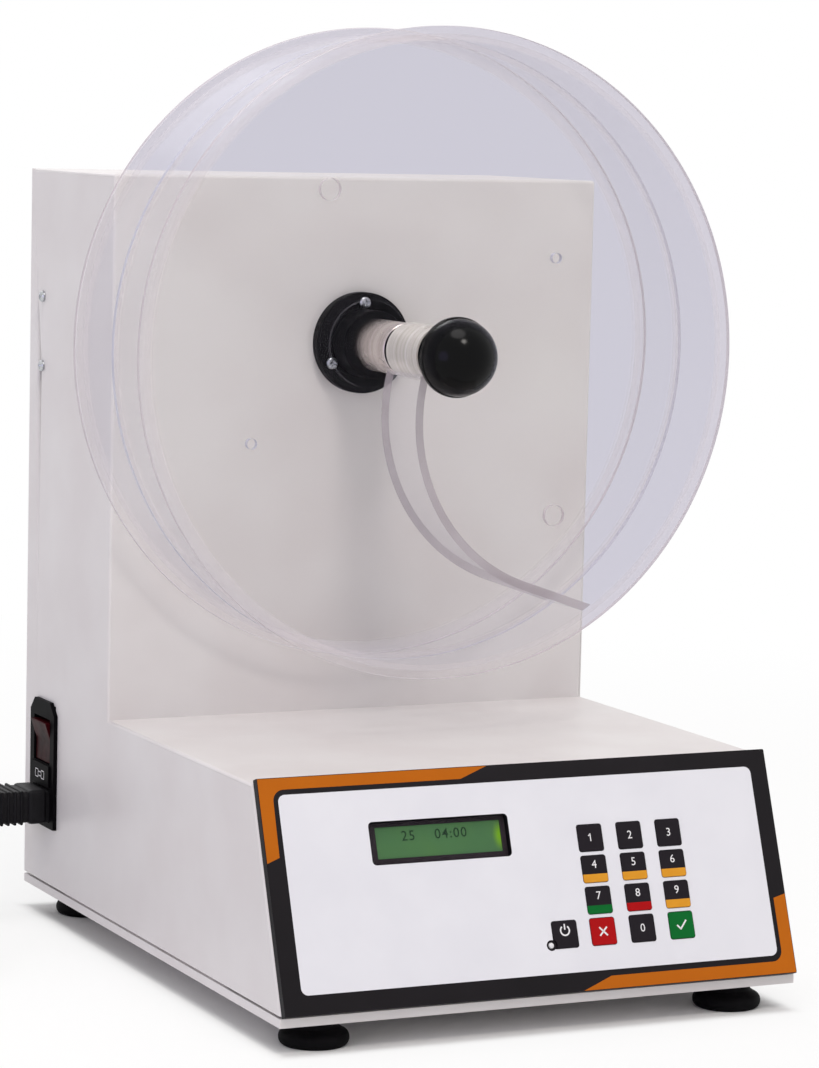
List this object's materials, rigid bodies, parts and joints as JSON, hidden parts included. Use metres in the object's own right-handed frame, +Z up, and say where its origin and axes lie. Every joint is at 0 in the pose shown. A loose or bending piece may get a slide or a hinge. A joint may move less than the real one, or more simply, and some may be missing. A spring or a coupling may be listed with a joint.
{
  "type": "friability tester",
  "caption": "Bench tester that tumbles tablets in a clear drum with a curved lifting arm on a motor shaft, over a sloping panel with keypad and display.",
  "frame": {"origin": "on the bench below the middle of the instrument's footprint, without the mains lead", "axes": "+X to the instrument's right, +Y to its back, +Z up; the panel faces -Y and the drum's shaft runs along Y"},
  "size_m": [0.4457, 0.3332, 0.4404],
  "materials": {
    "painted_steel": "powder coat, fine texture",
    "black_rubber": "moulded",
    "steel_screws": "bright zinc",
    "black_panel": "satin black",
    "printed_overlay": "printed film",
    "display_glass": "clear",
    "display_module": "green display",
    "circuit_board": "solder mask",
    "black_plastic": "moulded",
    "rocker_red": "moulded",
    "nickel_steel": "ground",
    "lamp_lens": "frosted lens",
    "zinc_steel": "zinc plated sheet",
    "transformer_core": "taped winding",
    "black_metal": "satin black",
    "satin_nickel": "turned, satin",
    "fuse_glass": "clear",
    "clear_plastic": "polished acrylic",
    "key_black": "printed film",
    "key_red": "printed film",
    "key_green": "printed film",
    "cord_pvc": "moulded cable jacket"
  },
  "bodies": {
    "root": {"housing_shell": "painted_steel", "rear_cover": "painted_steel", "base_tray": "painted_steel", "rubber_feet": "black_rubber", "case_screws": "steel_screws", "panel_plate": "black_panel", "panel_overlay": "printed_overlay", "lcd_window": "display_glass", "lcd_module": "display_module", "keypad_board": "circuit_board", "dome_switches": "black_plastic", "board_standoffs": "nickel_steel", "power_led": "lamp_lens", "inlet_body": "black_plastic", "inlet_pins": "nickel_steel", "motor_bracket": "zinc_steel", "motor_can": "nickel_steel", "gearbox_housing": "black_plastic", "power_board": "circuit_board", "transformer": "transformer_core", "bearing_housing": "black_metal", "bearing_outer_rings": "nickel_steel", "speed_sensor": "black_plastic", "mains_connector": "cord_pvc", "mains_cord": "cord_pvc", "mains_coil": "cord_pvc", "mains_plug": "cord_pvc"},
    "drive_shaft": {"drum_shaft": "nickel_steel", "drive_hub": "satin_nickel", "hub_o_ring": "black_rubber", "drum_gear": "nickel_steel", "encoder_disc": "nickel_steel", "bearing_inner_rings": "nickel_steel"},
    "pinion": {"motor_pinion": "nickel_steel"},
    "drum": {"drum_rear_disc": "clear_plastic", "drum_rear_ring": "clear_plastic", "drum_mid_disc": "clear_plastic", "drum_front_ring": "clear_plastic", "drum_arm": "clear_plastic", "drum_hub_tube": "clear_plastic"},
    "lid": {"drum_lid": "clear_plastic", "lid_boss": "clear_plastic"},
    "washer": {"knob_washer": "black_plastic"},
    "knob": {"clamp_knob": "black_plastic"},
    "rocker": {"rocker_switch": "rocker_red"},
    "drawer": {"fuse_drawer": "black_plastic", "fuse_link": "fuse_glass"},
    "key_1_cap": {"key_1": "key_black"},
    "key_2_cap": {"key_2": "key_black"},
    "key_3_cap": {"key_3": "key_black"},
    "key_4_cap": {"key_4": "key_black"},
    "key_5_cap": {"key_5": "key_black"},
    "key_6_cap": {"key_6": "key_black"},
    "key_7_cap": {"key_7": "key_black"},
    "key_8_cap": {"key_8": "key_black"},
    "key_9_cap": {"key_9": "key_black"},
    "key_cancel_cap": {"key_cancel": "key_red"},
    "key_0_cap": {"key_0": "key_black"},
    "key_enter_cap": {"key_enter": "key_green"},
    "key_power_cap": {"key_power": "key_black"}
  },
  "joints": [
    {"name": "drum_turn", "type": "hinge", "parent": "root", "child": "drive_shaft", "pos_m": [0, 0.05007, 0.2901], "axis": [0, 1, 0], "continuous": true},
    {"name": "pinion_turn", "type": "hinge", "parent": "root", "child": "pinion", "pos_m": [0, 0.05007, 0.2451], "axis": [0, 1, 0], "continuous": true},
    {"name": "drum_pull", "type": "slide", "parent": "drive_shaft", "child": "drum", "axis": [0, -1, 0], "range_m": [0, 0.12]},
    {"name": "lid_pull", "type": "slide", "parent": "drum", "child": "lid", "axis": [0, -1, 0], "range_m": [0, 0.06]},
    {"name": "washer_pull", "type": "slide", "parent": "lid", "child": "washer", "axis": [0, -1, 0], "range_m": [0, 0.04]},
    {"name": "knob_turn", "type": "hinge", "parent": "washer", "child": "knob", "pos_m": [0, 0.05007, 0.2901], "axis": [0, 1, 0], "continuous": true},
    {"name": "rocker_tilt", "type": "hinge", "parent": "root", "child": "rocker", "pos_m": [-0.1245, 0.13507, 0.0892], "axis": [0, 1, 0], "range_deg": [0, 18]},
    {"name": "drawer_pull", "type": "slide", "parent": "root", "child": "drawer", "axis": [-1, 0, 0], "range_m": [0, 0.024]},
    {"name": "key_1_press", "type": "slide", "parent": "root", "child": "key_1_cap", "axis": [0, 0.9361, -0.3518], "range_m": [0, 0.0005], "stiffness_N_per_m": 400},
    {"name": "key_2_press", "type": "slide", "parent": "root", "child": "key_2_cap", "axis": [0, 0.9361, -0.3518], "range_m": [0, 0.0005], "stiffness_N_per_m": 400},
    {"name": "key_3_press", "type": "slide", "parent": "root", "child": "key_3_cap", "axis": [0, 0.9361, -0.3518], "range_m": [0, 0.0005], "stiffness_N_per_m": 400},
    {"name": "key_4_press", "type": "slide", "parent": "root", "child": "key_4_cap", "axis": [0, 0.9361, -0.3518], "range_m": [0, 0.0005], "stiffness_N_per_m": 400},
    {"name": "key_5_press", "type": "slide", "parent": "root", "child": "key_5_cap", "axis": [0, 0.9361, -0.3518], "range_m": [0, 0.0005], "stiffness_N_per_m": 400},
    {"name": "key_6_press", "type": "slide", "parent": "root", "child": "key_6_cap", "axis": [0, 0.9361, -0.3518], "range_m": [0, 0.0005], "stiffness_N_per_m": 400},
    {"name": "key_7_press", "type": "slide", "parent": "root", "child": "key_7_cap", "axis": [0, 0.9361, -0.3518], "range_m": [0, 0.0005], "stiffness_N_per_m": 400},
    {"name": "key_8_press", "type": "slide", "parent": "root", "child": "key_8_cap", "axis": [0, 0.9361, -0.3518], "range_m": [0, 0.0005], "stiffness_N_per_m": 400},
    {"name": "key_9_press", "type": "slide", "parent": "root", "child": "key_9_cap", "axis": [0, 0.9361, -0.3518], "range_m": [0, 0.0005], "stiffness_N_per_m": 400},
    {"name": "key_cancel_press", "type": "slide", "parent": "root", "child": "key_cancel_cap", "axis": [0, 0.9361, -0.3518], "range_m": [0, 0.0005], "stiffness_N_per_m": 400},
    {"name": "key_0_press", "type": "slide", "parent": "root", "child": "key_0_cap", "axis": [0, 0.9361, -0.3518], "range_m": [0, 0.0005], "stiffness_N_per_m": 400},
    {"name": "key_enter_press", "type": "slide", "parent": "root", "child": "key_enter_cap", "axis": [0, 0.9361, -0.3518], "range_m": [0, 0.0005], "stiffness_N_per_m": 400},
    {"name": "key_power_press", "type": "slide", "parent": "root", "child": "key_power_cap", "axis": [0, 0.9361, -0.3518], "range_m": [0, 0.0005], "stiffness_N_per_m": 400}
  ],
  "couplings": [
    {"joint": "pinion_turn", "follows": "drum_turn", "ratio": -2}
  ]
}
